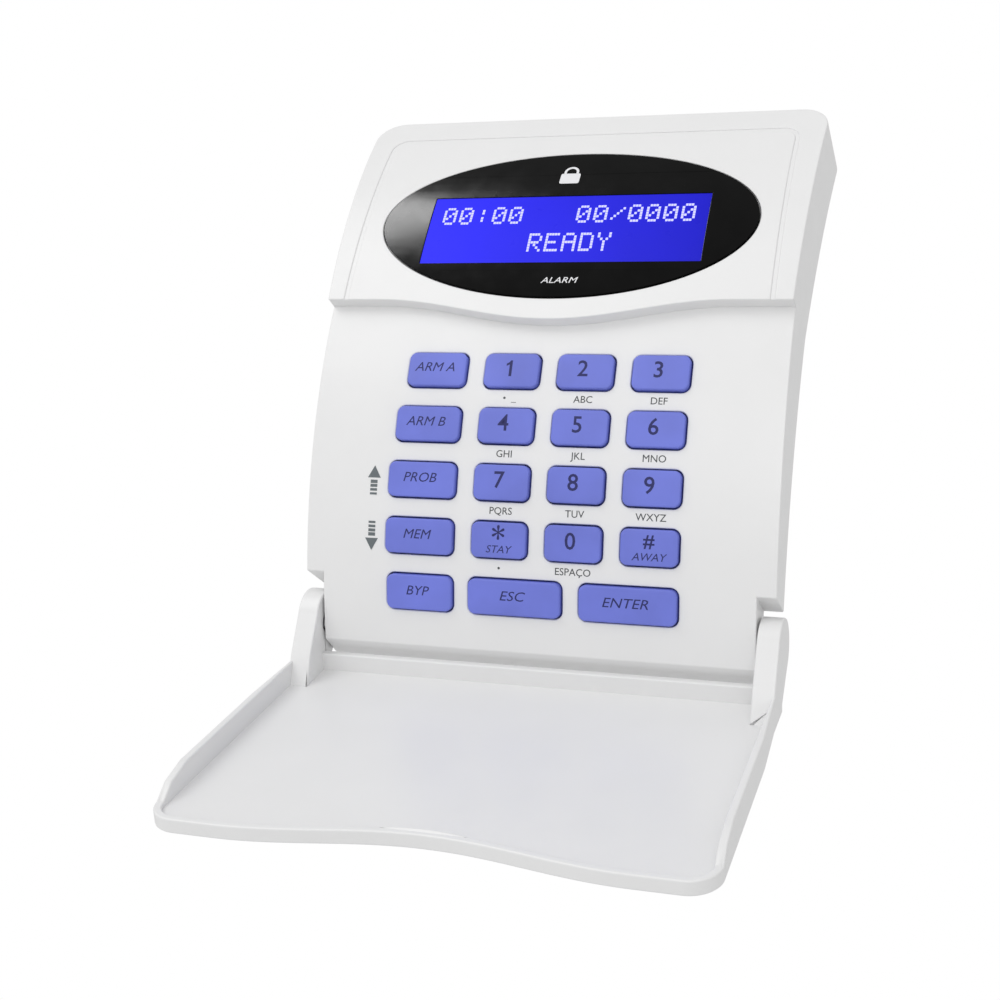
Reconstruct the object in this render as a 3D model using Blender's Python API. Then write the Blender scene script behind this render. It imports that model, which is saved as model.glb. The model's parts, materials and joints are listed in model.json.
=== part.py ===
"""Wall-mounted alarm keypad with a drop-down door.

Metres, +Z up, X across, the front facing -Y. The origin is the middle of the face that lies on the wall.
"Depth" is the distance in front of the wall, which is -Y. The front is an arch about an axis along X, and
the key area is recessed below it. The door is modelled hanging open; it turns about the pivot in its ears.
"""
import math

import bmesh
import bpy
from mathutils import Matrix, Vector

GAP = 0.0003                    # clearance between pieces that touch

# Front of the case: an arch about an axis along X
ARCH_Z = 0.004                  # height of the arch's axis
ARCH_DEPTH = -0.1017            # depth of the arch's axis, behind the wall
FACE_R = 0.138                  # radius of the upper face
STEP = 0.0037                   # drop from the upper face to the key area
KEY_R = FACE_R - STEP           # radius of the key area's face
ARC_STEPS = 22                  # flats along each arch

# Rear rim of the front shell: a flatter arch, so the shell stands off the wall in the middle
RIM_Z = -0.0048
RIM_APEX = 0.0164
RIM_R = 0.168

# Outline of the shell, seen from the front
TOP = 0.067
BOTTOM = -0.067
HALF_WIDTH = 0.0551
TOP_HALF_WIDTH = 0.0568
TOP_CORNER_R = 0.0065
BOTTOM_CORNER_R = 0.001
NOTCH_HALF_WIDTH = 0.0508       # the bottom corners are cut back for the door's ears
NOTCH_TOP = -0.0529
UNDERSIDE_DROP = 0.0020         # the underside slopes down towards the wall
UNDERSIDE_SLOPE = 0.188
UNDERSIDE_FRONT = 0.0125        # depth at which the underside meets the face
WALL = 0.0022
UPPER_SKIN = 0.0027             # thickness of the upper face, which holds the lens

# The step's edge and the door's free edge share one bulge
STEP_Z = 0.0095
BULGE = 0.0049
BULGE_HALF = 0.042

# Oval lens and display window
LENS_Z = 0.0312
LENS_HALF_X = 0.0452
LENS_HALF_Z = 0.0211
LENS_THICK = 0.0015
LENS_PROUD = 0.00025
DISPLAY_ANGLE = math.radians(10.4)
DISPLAY_SIZE = (0.0684, 0.0208)     # outside of the display's bezel
DISPLAY_SAG = 0.00045           # how far the curved lens dips across the flat display
BEZEL_DEPTH = 0.0050
BEZEL_LIP = 0.0006
DISPLAY_BOARD = (0.0800, 0.0360, 0.0016)

# Keys
ROW_ANGLES = [math.radians(-4.55 - 5.5 * row) for row in range(5)]
KEY_HEIGHT = 0.0080
KEY_WIDTH = 0.0129
DIGIT_COLUMNS = (-0.0075, 0.0098, 0.0271)
FUNCTION_RIGHT = -0.0186        # right edge of the left-hand column
KEY_PROUD = 0.0010
KEY_FLANGE = 0.0009
KEY_CORNER_R = 0.0016

# Door, in its own frame: x across, y from hinge to free edge, z out of its outer face, 0 on the inner face
PIVOT_Z = -0.0629
PIVOT_DEPTH = 0.0119
DOOR_ANGLE = math.radians(128.6)    # from straight up, round through the front
DOOR_DATUM = (-0.0790, 0.0154)      # height and depth of the door frame's origin
DOOR_THICK = 0.0022
DOOR_HINGE_Y = -0.0105
DOOR_FREE_Y = 0.0644
DOOR_HALF_WIDTH = 0.0573
DOOR_CORNER_R = 0.0065
LIP_INNER_X = 0.0555
LIP_HEIGHT = 0.0050
FREE_LIP = 0.0010
HINGE_RIM = 0.0041
EAR_INNER_X = 0.0513
EAR_OUTER_X = 0.0563
EAR_R = 0.0068
PIN_R = 0.0018
BORE_R = PIN_R + GAP

# Rear base
BASE_HALF_WIDTH = 0.0522
BASE_FOOT_HALF_WIDTH = 0.0479   # between the notches
BASE_TOP = 0.0636
BASE_BOTTOM = -0.0640
BASE_FLOOR = 0.0022
BASE_WALL = 0.0018
BASE_NEST = 0.0040              # how far its wall reaches into the shell
CABLE_ENTRY = (0.020, 0.012, 0.0, 0.030)    # width, height, x, z
CASE_SCREWS = ((-0.0465, 0.0545), (0.0465, 0.0545))
CASE_BOSS_R = 0.0028
SCREW_HEAD_R = 0.0022
SCREW_HEAD_BACK, SCREW_HEAD_TOP = 0.0002, 0.0013    # depths of the sunk head
SCREW_SLOTS = ((-0.030, 0.040), (0.030, 0.040), (-0.030, -0.040), (0.030, -0.040))

# Circuit boards, on the arch's radii
BOARD_ANGLE = math.radians(-15.2)
BOARD_R = 0.1235                # radius of the main board's front
BOARD_SIZE = (0.0908, 0.0680, 0.0016)
BOARD_HOLES = ((-0.0415, 0.030), (0.0415, 0.030), (-0.0415, -0.030), (0.0415, -0.030))
MAT_R = 0.1296
MAT_THICK = 0.0008


# ---------------------------------------------------------------- frames

FRONT = Matrix(((1, 0, 0, 0), (0, 0, -1, 0), (0, 1, 0, 0), (0, 0, 0, 1)))    # x, height, depth
SIDE = Matrix(((0, 0, -1, 0), (-1, 0, 0, 0), (0, 1, 0, 0), (0, 0, 0, 1)))    # depth, height, -x


def on_arch(angle, radius, x=0.0):
    """Frame on the arch: x across, y up along the face, z out of it."""
    turn = Matrix(((1, 0, 0, 0), (0, math.sin(angle), -math.cos(angle), 0),
                   (0, math.cos(angle), math.sin(angle), 0), (0, 0, 0, 1)))
    return Matrix.Translation((x, -ARCH_DEPTH, ARCH_Z)) @ turn @ Matrix.Translation((0, 0, radius))


def door_frame():
    """The door's frame as it hangs open."""
    c, s = math.cos(DOOR_ANGLE), math.sin(DOOR_ANGLE)
    turn = Matrix(((1, 0, 0, 0), (0, -s, -c, 0), (0, c, -s, 0), (0, 0, 0, 1)))
    return Matrix.Translation((0, -DOOR_DATUM[1], DOOR_DATUM[0])) @ turn


def in_door(z, depth):
    """Door-frame (y, z) of a point given by its height and depth."""
    point = door_frame().inverted() @ Vector((0, -depth, z))
    return point.y, point.z


def display_frame():
    """Frame on the flat front of the display, just behind the curved lens."""
    return on_arch(DISPLAY_ANGLE, FACE_R + LENS_PROUD - LENS_THICK - DISPLAY_SAG - GAP)


def step_edge(x):
    """Height of the step's edge, which dips under the lens."""
    if abs(x) >= BULGE_HALF:
        return STEP_Z
    return STEP_Z - BULGE * 0.5 * (1 + math.cos(math.pi * x / BULGE_HALF))


def arch_depth(radius, z, axis_z=ARCH_Z, axis_depth=ARCH_DEPTH):
    return axis_depth + math.sqrt(radius ** 2 - (z - axis_z) ** 2)


# ---------------------------------------------------------------- building blocks

def material(name, color, roughness=0.5, metallic=0.0):
    found = bpy.data.materials.get(name)
    if found:
        return found
    made = bpy.data.materials.new(name)
    made.use_nodes = True
    shader = made.node_tree.nodes["Principled BSDF"]
    shader.inputs["Base Color"].default_value = (*color, 1)
    shader.inputs["Roughness"].default_value = roughness
    shader.inputs["Metallic"].default_value = metallic
    return made


def white():
    return material("white_abs", (0.86, 0.86, 0.87), 0.3)


def place(name, bm, matrix, mat=None, origin=(0, 0, 0)):
    """Turn a bmesh into an object in its collection, with its origin at a world point."""
    bm.transform(Matrix.Translation(-Vector(origin)) @ matrix)
    bmesh.ops.recalc_face_normals(bm, faces=bm.faces)
    if bm.calc_volume(signed=True) < 0:
        bmesh.ops.reverse_faces(bm, faces=bm.faces)
    mesh = bpy.data.meshes.new(name)
    bm.to_mesh(mesh)
    bm.free()
    obj = bpy.data.objects.new(name, mesh)
    obj.location = origin
    if mat:
        mesh.materials.append(mat)
        parts.objects.link(obj)
    else:
        obj.hide_render = True
        obj.display_type = "WIRE"
        cutters.objects.link(obj)
    return obj


def prism(name, outline, low, high, matrix, mat=None, origin=(0, 0, 0)):
    """A flat outline extruded along its frame's z."""
    bm = bmesh.new()
    face = bm.faces.new([bm.verts.new((x, y, low)) for x, y in outline])
    moved = bmesh.ops.extrude_face_region(bm, geom=[face])["geom"]
    rise = [v for v in moved if isinstance(v, bmesh.types.BMVert)]
    bmesh.ops.translate(bm, verts=rise, vec=(0, 0, high - low))
    return place(name, bm, matrix, mat, origin)


def box(name, size, centre, matrix, mat=None, origin=(0, 0, 0)):
    bm = bmesh.new()
    bmesh.ops.create_cube(bm, size=1, matrix=Matrix.Translation(centre) @ Matrix.Diagonal((*size, 1)))
    return place(name, bm, matrix, mat, origin)


def cylinder(name, radius, low, high, matrix, mat=None, sides=20, origin=(0, 0, 0)):
    """A round bar along its frame's z."""
    bm = bmesh.new()
    middle = Matrix.Translation((0, 0, (low + high) / 2))
    bmesh.ops.create_cone(bm, cap_ends=True, segments=sides, radius1=radius, radius2=radius,
                          depth=high - low, matrix=middle)
    return place(name, bm, matrix, mat, origin)


def rounded_rect(half_x, half_y, radius, steps=2):
    """Outline of a rectangle with round corners, anticlockwise."""
    points = []
    for corner, (sx, sy) in enumerate(((1, 1), (-1, 1), (-1, -1), (1, -1))):
        for i in range(steps + 1):
            a = math.radians(90 * corner + 90 * i / steps)
            points.append((sx * (half_x - radius) + radius * math.cos(a),
                           sy * (half_y - radius) + radius * math.sin(a)))
    return points


def loft(name, rings, matrix, mat=None, origin=(0, 0, 0)):
    """A closed body through outlines of equal count, each given with its height."""
    bm = bmesh.new()
    loops = [[bm.verts.new((x, y, z)) for x, y in outline] for outline, z in rings]
    for low, high in zip(loops, loops[1:]):
        for i in range(len(low)):
            j = (i + 1) % len(low)
            bm.faces.new((low[i], low[j], high[j], high[i]))
    bm.faces.new(loops[0])
    bm.faces.new(loops[-1])
    return place(name, bm, matrix, mat, origin)


def combine(obj, other, operation="DIFFERENCE"):
    modifier = obj.modifiers.new(operation.lower(), "BOOLEAN")
    modifier.operation = operation
    modifier.solver = "EXACT"
    modifier.object = other
    return obj


def combine_all(obj, others, operation="DIFFERENCE"):
    for other in others:
        combine(obj, other, operation)
    return obj


# ---------------------------------------------------------------- outlines

def mirrored(right):
    """A closed outline from its right half, listed bottom to top."""
    return right + [(-x, y) for x, y in reversed(right)]


def corner(cx, cy, radius, start, end, steps):
    """Points on a round corner, from one angle to another in degrees."""
    angles = [math.radians(start + (end - start) * i / steps) for i in range(steps + 1)]
    return [(cx + radius * math.cos(a), cy + radius * math.sin(a)) for a in angles]


def shell_outline(inset):
    """The shell from the front, or its hollow when inset by the wall."""
    r_top, r_bottom = TOP_CORNER_R - inset, max(BOTTOM_CORNER_R - inset, 0.0004)
    foot = NOTCH_HALF_WIDTH - inset
    bottom = BOTTOM + inset if inset else BOTTOM - UNDERSIDE_DROP
    right = corner(foot - r_bottom, bottom + r_bottom, r_bottom, -90, 0, 3)
    right += [(foot, NOTCH_TOP + inset), (HALF_WIDTH - inset, NOTCH_TOP + inset)]
    right += [(HALF_WIDTH - inset, STEP_Z)]
    right += corner(TOP_HALF_WIDTH - inset - r_top, TOP - inset - r_top, r_top, 0, 90, 5)
    return mirrored(right)


def base_outline(inset):
    foot, half = BASE_FOOT_HALF_WIDTH - inset, BASE_HALF_WIDTH - inset
    shoulder = NOTCH_TOP + WALL + 2 * GAP + inset
    right = [(foot, BASE_BOTTOM + inset), (foot, shoulder), (half, shoulder)]
    right += corner(half - 0.003, BASE_TOP - inset - 0.003, 0.003, 0, 90, 3)
    return mirrored(right)


def arch_profile(radius, low, high, back, axis_z=ARCH_Z, axis_depth=ARCH_DEPTH):
    """Side view of everything under an arch: depth and height."""
    a0, a1 = math.asin((low - axis_z) / radius), math.asin((high - axis_z) / radius)
    angles = [a0 + (a1 - a0) * i / ARC_STEPS for i in range(ARC_STEPS + 1)]
    arc = [(axis_depth + radius * math.cos(a), axis_z + radius * math.sin(a)) for a in angles]
    return arc + [(back, high), (back, low)]


def ellipse(half_x, half_z, centre_z, steps=48):
    angles = [2 * math.pi * i / steps for i in range(steps)]
    return [(half_x * math.cos(a), centre_z + half_z * math.sin(a)) for a in angles]


def door_outline():
    """The door's plate: ears' width at the hinge, flaring to the free edge with its dip."""
    right = [(EAR_OUTER_X, DOOR_HINGE_Y), (EAR_OUTER_X, 0.0), (DOOR_HALF_WIDTH - 0.0002, 0.016)]
    right += corner(DOOR_HALF_WIDTH - DOOR_CORNER_R, DOOR_FREE_Y - DOOR_CORNER_R, DOOR_CORNER_R, 0, 90, 6)
    dips = [BULGE_HALF * (12 - i) / 12 for i in range(12)]
    right += [(x, DOOR_FREE_Y + step_edge(x) - STEP_Z) for x in dips]
    middle = [(0, DOOR_FREE_Y - BULGE)]
    return right + middle + [(-x, y) for x, y in reversed(right)]


# ---------------------------------------------------------------- case

def key_plan():
    """Every key: name, row, centre x, width."""
    keys = []
    digits = (("1", "2", "3"), ("4", "5", "6"), ("7", "8", "9"), ("star", "0", "hash"))
    for row, names in enumerate(digits):
        for name, x in zip(names, DIGIT_COLUMNS):
            keys.append(("key_" + name, row, x, KEY_WIDTH))
    for row, name in enumerate(("arm_a", "arm_b", "problem", "memory", "bypass")):
        left = -0.03495 + 0.00032 * (row - 2.7) ** 2
        keys.append(("key_" + name, row, (left + FUNCTION_RIGHT) / 2, FUNCTION_RIGHT - left))
    keys.append(("key_escape", 4, -0.0037, 0.0217))
    keys.append(("key_enter", 4, 0.0225, 0.0221))
    return keys


def make_front_shell():
    """Arched front: raised upper face, recessed key area, side walls, bosses and bearing cheeks."""
    shell = prism("front_shell", arch_profile(FACE_R, BOTTOM - 0.002, TOP + 0.002, -0.001),
                  -0.07, 0.07, SIDE, white())
    outline = prism("cut_shell_outline", shell_outline(0), -0.01, 0.05, FRONT)
    combine(shell, outline, "INTERSECT")

    edge = [(-0.065, step_edge(0.065))]
    edge += [(-BULGE_HALF + BULGE_HALF * i / 8, step_edge(-BULGE_HALF + BULGE_HALF * i / 8)) for i in range(17)]
    edge += [(0.065, STEP_Z), (0.065, -0.075), (-0.065, -0.075)]
    recess = prism("cut_key_recess", edge, 0.0, 0.06, FRONT)
    keep = prism("cut_key_recess_floor", arch_profile(KEY_R, -0.080, 0.030, -0.010), -0.08, 0.08, SIDE)
    combine(shell, combine(recess, keep))

    hollow = prism("cut_hollow", shell_outline(WALL), -0.02, 0.06, FRONT)
    under = prism("cut_hollow_face", arch_profile(KEY_R - WALL, -0.072, 0.072, -0.030), -0.08, 0.08, SIDE)
    combine(hollow, under, "INTERSECT")
    upper = [(-TOP_HALF_WIDTH + WALL + 0.0012, STEP_Z + 0.003), (TOP_HALF_WIDTH - WALL - 0.0012, STEP_Z + 0.003)]
    upper += corner(TOP_HALF_WIDTH - WALL - 0.0055, TOP - WALL - 0.0043, 0.0043, 0, 90, 4)
    upper += corner(-TOP_HALF_WIDTH + WALL + 0.0055, TOP - WALL - 0.0043, 0.0043, 90, 180, 4)
    attic = prism("cut_upper_hollow", upper, 0.0, 0.06, FRONT)
    roof = prism("cut_upper_face", arch_profile(FACE_R - UPPER_SKIN, -0.010, 0.072, -0.030), -0.08, 0.08, SIDE)
    combine(attic, roof, "INTERSECT")
    combine_all(shell, (hollow, attic))

    front, back = UNDERSIDE_FRONT + 0.030, UNDERSIDE_FRONT - 0.030
    below = [(front, BOTTOM + 0.030 * UNDERSIDE_SLOPE), (back, BOTTOM - 0.030 * UNDERSIDE_SLOPE),
             (back, BOTTOM - 0.020), (front, BOTTOM - 0.020)]
    combine(shell, prism("cut_underside", below, -0.08, 0.08, SIDE))
    rim = prism("cut_rear_rim", arch_profile(RIM_R, -0.090, 0.090, -0.080, RIM_Z, RIM_APEX - RIM_R),
                -0.08, 0.08, SIDE)
    combine(shell, rim)

    for i, (x, y) in enumerate(BOARD_HOLES):
        boss = cylinder(f"cut_boss_{i + 1}", 0.0028, GAP, 0.0068, on_arch(BOARD_ANGLE, BOARD_R, x)
                        @ Matrix.Translation((0, y, 0)), sides=14)
        combine(shell, boss, "UNION")
        bore = cylinder(f"cut_boss_bore_{i + 1}", 0.0013, -0.001, 0.0050, on_arch(BOARD_ANGLE, BOARD_R, x)
                        @ Matrix.Translation((0, y, 0)), sides=10)
        combine(shell, bore)

    pocket = prism("cut_lens_pocket", ellipse(LENS_HALF_X + GAP, LENS_HALF_Z + GAP, LENS_Z), 0.0, 0.06, FRONT)
    floor = prism("cut_lens_pocket_floor", arch_profile(FACE_R + LENS_PROUD - LENS_THICK - GAP, -0.02, 0.072, -0.03),
                  -0.08, 0.08, SIDE)
    combine(shell, combine(pocket, floor))
    opening = (DISPLAY_SIZE[0] + 2 * GAP, DISPLAY_SIZE[1] + 2 * GAP, 0.020)
    window = box("cut_window", opening, (0, 0, 0), display_frame())
    combine(shell, window)

    for name, row, x, width in key_plan():
        hole = rounded_rect(width / 2 + 0.00035, KEY_HEIGHT / 2 + 0.00035, KEY_CORNER_R + 0.00035)
        combine(shell, prism("cut_" + name, hole, -0.006, 0.004, on_arch(ROW_ANGLES[row], KEY_R, x)))

    for side in (-1, 1):
        combine(shell, cylinder(f"cut_bearing_{side}", BORE_R, 0.040, 0.053, hinge_axis(side), sides=20))
    for i, (x, z) in enumerate(CASE_SCREWS):
        spot = FRONT @ Matrix.Translation((x, z, 0))
        reach = arch_depth(FACE_R - UPPER_SKIN, z) + 0.0010
        combine(shell, cylinder(f"cut_case_boss_{i + 1}", CASE_BOSS_R, BASE_FLOOR + GAP, reach, spot), "UNION")
        combine(shell, cylinder(f"cut_case_boss_bore_{i + 1}", 0.0013, 0.001, 0.009, spot, sides=12))
    return shell


def hinge_axis(side):
    """Frame whose z runs outwards along the hinge on one side."""
    turn = Matrix.Rotation(math.radians(90 * side), 4, "Y")
    return Matrix.Translation((0, -PIVOT_DEPTH, PIVOT_Z)) @ turn


def make_rear_base():
    """Flat tub that lies on the wall and reaches up into the shell."""
    base = prism("rear_base", base_outline(0), 0, 0.045, FRONT, white())
    reach = prism("cut_base_reach", arch_profile(RIM_R + BASE_NEST, -0.090, 0.090, -0.080, RIM_Z, RIM_APEX - RIM_R),
                  -0.08, 0.08, SIDE)
    combine(base, reach, "INTERSECT")
    combine(base, prism("cut_base_hollow", base_outline(BASE_WALL), BASE_FLOOR, 0.06, FRONT))
    width, height, x, z = CABLE_ENTRY
    combine(base, prism("cut_cable_entry", rounded_rect(width / 2, height / 2, 0.002), -0.001, 0.004,
                        FRONT @ Matrix.Translation((x, z, 0))))
    for i, (x, z) in enumerate(SCREW_SLOTS):
        slot = rounded_rect(0.0045, 0.0021, 0.0020, 4) if i % 2 else rounded_rect(0.0021, 0.0045, 0.0020, 4)
        combine(base, prism(f"cut_screw_slot_{i + 1}", slot, -0.001, 0.004, FRONT @ Matrix.Translation((x, z, 0))))
    combine(base, cylinder("cut_tamper_hole", 0.0018 + GAP, -0.001, 0.004,
                           FRONT @ Matrix.Translation((0.0, -0.020, 0)), sides=16))
    for i, (x, z) in enumerate(CASE_SCREWS):
        spot = FRONT @ Matrix.Translation((x, z, 0))
        combine(base, cylinder(f"cut_case_screw_hole_{i + 1}", 0.0013, -0.001, 0.004, spot, sides=12))
        combine(base, cylinder(f"cut_case_screw_sink_{i + 1}", SCREW_HEAD_R + GAP, -0.001, SCREW_HEAD_TOP + GAP,
                               spot, sides=18))
    return base


def make_case_screws():
    """Screws through the base's floor into the shell's bosses, their heads sunk in the floor."""
    steel = material("screw_steel", (0.6, 0.6, 0.62), 0.3, 1)
    for i, (x, z) in enumerate(CASE_SCREWS):
        spot = FRONT @ Matrix.Translation((x, z, 0))
        screw = cylinder(f"case_screw_{i + 1}", SCREW_HEAD_R, SCREW_HEAD_BACK, SCREW_HEAD_TOP, spot, steel, sides=18)
        shank = cylinder(f"cut_case_screw_shank_{i + 1}", 0.0010, SCREW_HEAD_BACK + 0.0005, 0.0080, spot, sides=10)
        combine(screw, shank, "UNION")
        for turn in (0, math.pi / 2):
            slot = box(f"cut_case_screw_slot_{i + 1}", (0.0030, 0.0006, 0.0010), (0, 0, SCREW_HEAD_BACK),
                       spot @ Matrix.Rotation(turn, 4, "Z"))
            combine(screw, slot)


def make_door():
    """Flat door with side lips, a low lip on the free edge, a hinge rim and two ears."""
    frame = door_frame()
    pivot = Vector((0, -PIVOT_DEPTH, PIVOT_Z))
    door = prism("door", door_outline(), 0, DOOR_THICK, frame, white(), pivot)
    lip_side = Matrix(((0, 0, 1, 0), (1, 0, 0, 0), (0, 1, 0, 0), (0, 0, 0, 1)))    # y, z, x
    top = -LIP_HEIGHT
    lip = [(-0.0030, 0.0011), (-0.0030, top), (0.048, top), (0.0545, top * 0.72), (0.0585, -FREE_LIP), (0.0585, 0.0011)]
    ear = ear_outline()
    for side in (-1, 1):
        name = "left" if side < 0 else "right"
        x0, x1 = sorted((side * LIP_INNER_X, side * (DOOR_HALF_WIDTH - 0.0002)))
        blend = prism(f"cut_lip_{name}", lip, x0, x1, frame @ lip_side)
        flare = prism(f"cut_lip_flare_{name}", door_outline(), -0.02, 0.02, frame)
        combine(blend, flare, "INTERSECT")
        x0, x1 = sorted((side * EAR_INNER_X, side * EAR_OUTER_X))
        combine_all(door, (blend, prism(f"cut_ear_{name}", ear, x0, x1, frame @ lip_side)), "UNION")
    rim = box("cut_hinge_rim", (2 * EAR_INNER_X + 0.002, 0.002, HINGE_RIM + 0.001),
              (0, DOOR_HINGE_Y + 0.001, -HINGE_RIM / 2 + 0.0005), frame)
    free = prism("cut_free_lip", door_outline(), -FREE_LIP, 0.001, frame)
    inner = prism("cut_free_lip_inner", [(x * 0.97, y - 0.0016) for x, y in door_outline()], -0.01, 0.01, frame)
    combine_all(door, (rim, combine(free, inner)), "UNION")
    for side in (-1, 1):
        bore = cylinder(f"cut_ear_bore_{side}", BORE_R, 0.050, 0.0546, hinge_axis(side), sides=20)
        combine(door, bore)
    return door


def ear_outline():
    """Ear from the side, in the door frame: a round head joined to the plate."""
    head_y, head_z = in_door(-0.0616, 0.0112)
    start, end = 27, 243
    angles = [math.radians(start + (end - start) * i / 14) for i in range(15)]
    head = [(head_y + EAR_R * math.cos(-a), head_z + EAR_R * math.sin(-a)) for a in angles]
    front = [(0.0010, 0.0008), (-0.0006, -0.0030), (-0.0022, -0.0062)]
    back = [(DOOR_HINGE_Y, 0.0004), (DOOR_HINGE_Y, 0.0008)]
    return front + head + back


def make_hinge_pin(side):
    name = "hinge_pin_left" if side < 0 else "hinge_pin_right"
    steel = material("pin_steel", (0.65, 0.65, 0.67), 0.25, 1)
    return cylinder(name, PIN_R, 0.0488, 0.0543, hinge_axis(side), steel, sides=20)


# ---------------------------------------------------------------- display

def make_display():
    """Oval lens, then the liquid-crystal module behind it: bezel, glass, light guide, board."""
    gloss = material("black_acrylic", (0.01, 0.01, 0.012), 0.08)
    lens = prism("display_lens", ellipse(LENS_HALF_X, LENS_HALF_Z, LENS_Z), 0.0, 0.06, FRONT, gloss)
    outer = prism("cut_lens_front", arch_profile(FACE_R + LENS_PROUD, -0.02, 0.072, -0.03), -0.08, 0.08, SIDE)
    inner = prism("cut_lens_back", arch_profile(FACE_R + LENS_PROUD - LENS_THICK, -0.02, 0.072, -0.04),
                  -0.08, 0.08, SIDE)
    combine(lens, outer, "INTERSECT")
    combine(lens, inner)

    frame = display_frame()
    width, height = DISPLAY_SIZE
    metal = material("bezel_steel", (0.10, 0.10, 0.11), 0.4, 0.9)
    bezel = box("lcd_bezel", (width, height, BEZEL_DEPTH), (0, 0, -BEZEL_DEPTH / 2), frame, metal)
    inside = (width - 0.0012, height - 0.0012, BEZEL_DEPTH)
    combine(bezel, box("cut_bezel_inside", inside, (0, 0, -BEZEL_LIP - BEZEL_DEPTH / 2), frame))
    combine(bezel, box("cut_bezel_window", (width - 0.0030, height - 0.0030, 0.004), (0, 0, 0), frame))
    blue = material("lcd_blue", (0.02, 0.02, 0.85), 0.15)
    layer = (width - 0.0020, height - 0.0020, 0.0018)
    box("lcd_glass", layer, (0, 0, -BEZEL_LIP - GAP - 0.0009), frame, blue)
    guide = material("light_guide", (0.75, 0.8, 0.95), 0.3)
    box("lcd_backlight", layer, (0, 0, -BEZEL_LIP - 2 * GAP - 0.0027), frame, guide)
    box("lcd_board", DISPLAY_BOARD, (0, 0, -BEZEL_DEPTH - GAP - DISPLAY_BOARD[2] / 2), frame, green())


def green():
    return material("circuit_board", (0.02, 0.16, 0.08), 0.4)


# ---------------------------------------------------------------- keys and electronics

def make_key(name, row, x, width):
    """Key cap with a softened top and a flange that keeps it behind the face."""
    frame = on_arch(ROW_ANGLES[row], KEY_R, x)
    half_x, half_y = width / 2, KEY_HEIGHT / 2
    skin = WALL + GAP
    rings = []
    for grow, z in ((-0.00045, KEY_PROUD), (0, KEY_PROUD - 0.0004), (0, -skin),
                    (KEY_FLANGE, -skin), (KEY_FLANGE, -skin - 0.0008)):
        rings.append((rounded_rect(half_x + grow, half_y + grow, KEY_CORNER_R + grow), z))
    blue = material("key_blue", (0.14, 0.16, 0.76), 0.45)
    return loft(name, list(reversed(rings)), frame, blue, frame.translation)


def make_key_mat():
    """Silicone sheet that follows the arch, with a pill under every key."""
    rubber = material("silicone", (0.75, 0.76, 0.80), 0.6)
    low, high = ROW_ANGLES[-1] - math.radians(2.6), ROW_ANGLES[0] + math.radians(2.6)
    angles = [low + (high - low) * i / 10 for i in range(11)]
    top = [(ARCH_DEPTH + MAT_R * math.cos(a), ARCH_Z + MAT_R * math.sin(a)) for a in angles]
    below = MAT_R - MAT_THICK
    under = [(ARCH_DEPTH + below * math.cos(a), ARCH_Z + below * math.sin(a)) for a in reversed(angles)]
    sheet = prism("key_mat", top + under, -0.0375, 0.0375, SIDE, rubber)
    board_front = on_arch(BOARD_ANGLE, BOARD_R)
    for name, row, x, width in key_plan():
        foot = board_front.inverted() @ (on_arch(ROW_ANGLES[row], MAT_R - 0.0004, x).translation)
        pill = cylinder("cut_pill_" + name, 0.0022, GAP + 0.0002, foot.z,
                        board_front @ Matrix.Translation((foot.x, foot.y, 0)), sides=8)
        combine(sheet, pill, "UNION")
    return sheet


def make_main_board():
    frame = on_arch(BOARD_ANGLE, BOARD_R)
    board = box("main_board", BOARD_SIZE, (0, 0, -BOARD_SIZE[2] / 2), frame, green())
    steel = material("screw_steel", (0.6, 0.6, 0.62), 0.3, 1)
    for i, (x, y) in enumerate(BOARD_HOLES):
        spot = frame @ Matrix.Translation((x, y, 0))
        combine(board, cylinder(f"cut_board_hole_{i + 1}", 0.0013, -0.003, 0.001, spot, sides=10))
        head = -BOARD_SIZE[2] - GAP
        screw = cylinder(f"board_screw_{i + 1}", 0.0023, head - 0.0013, head, spot, steel, sides=14)
        combine(screw, cylinder(f"cut_board_shank_{i + 1}", 0.0010, head - 0.0005, 0.0042, spot, sides=8), "UNION")
    return board


def on_board_back(x, y):
    """Frame on the rear face of the main board: z points away from it, towards the wall."""
    flip = Matrix.Rotation(math.pi, 4, "Y")
    return on_arch(BOARD_ANGLE, BOARD_R - BOARD_SIZE[2] - GAP) @ Matrix.Translation((x, y, 0)) @ flip


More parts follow.
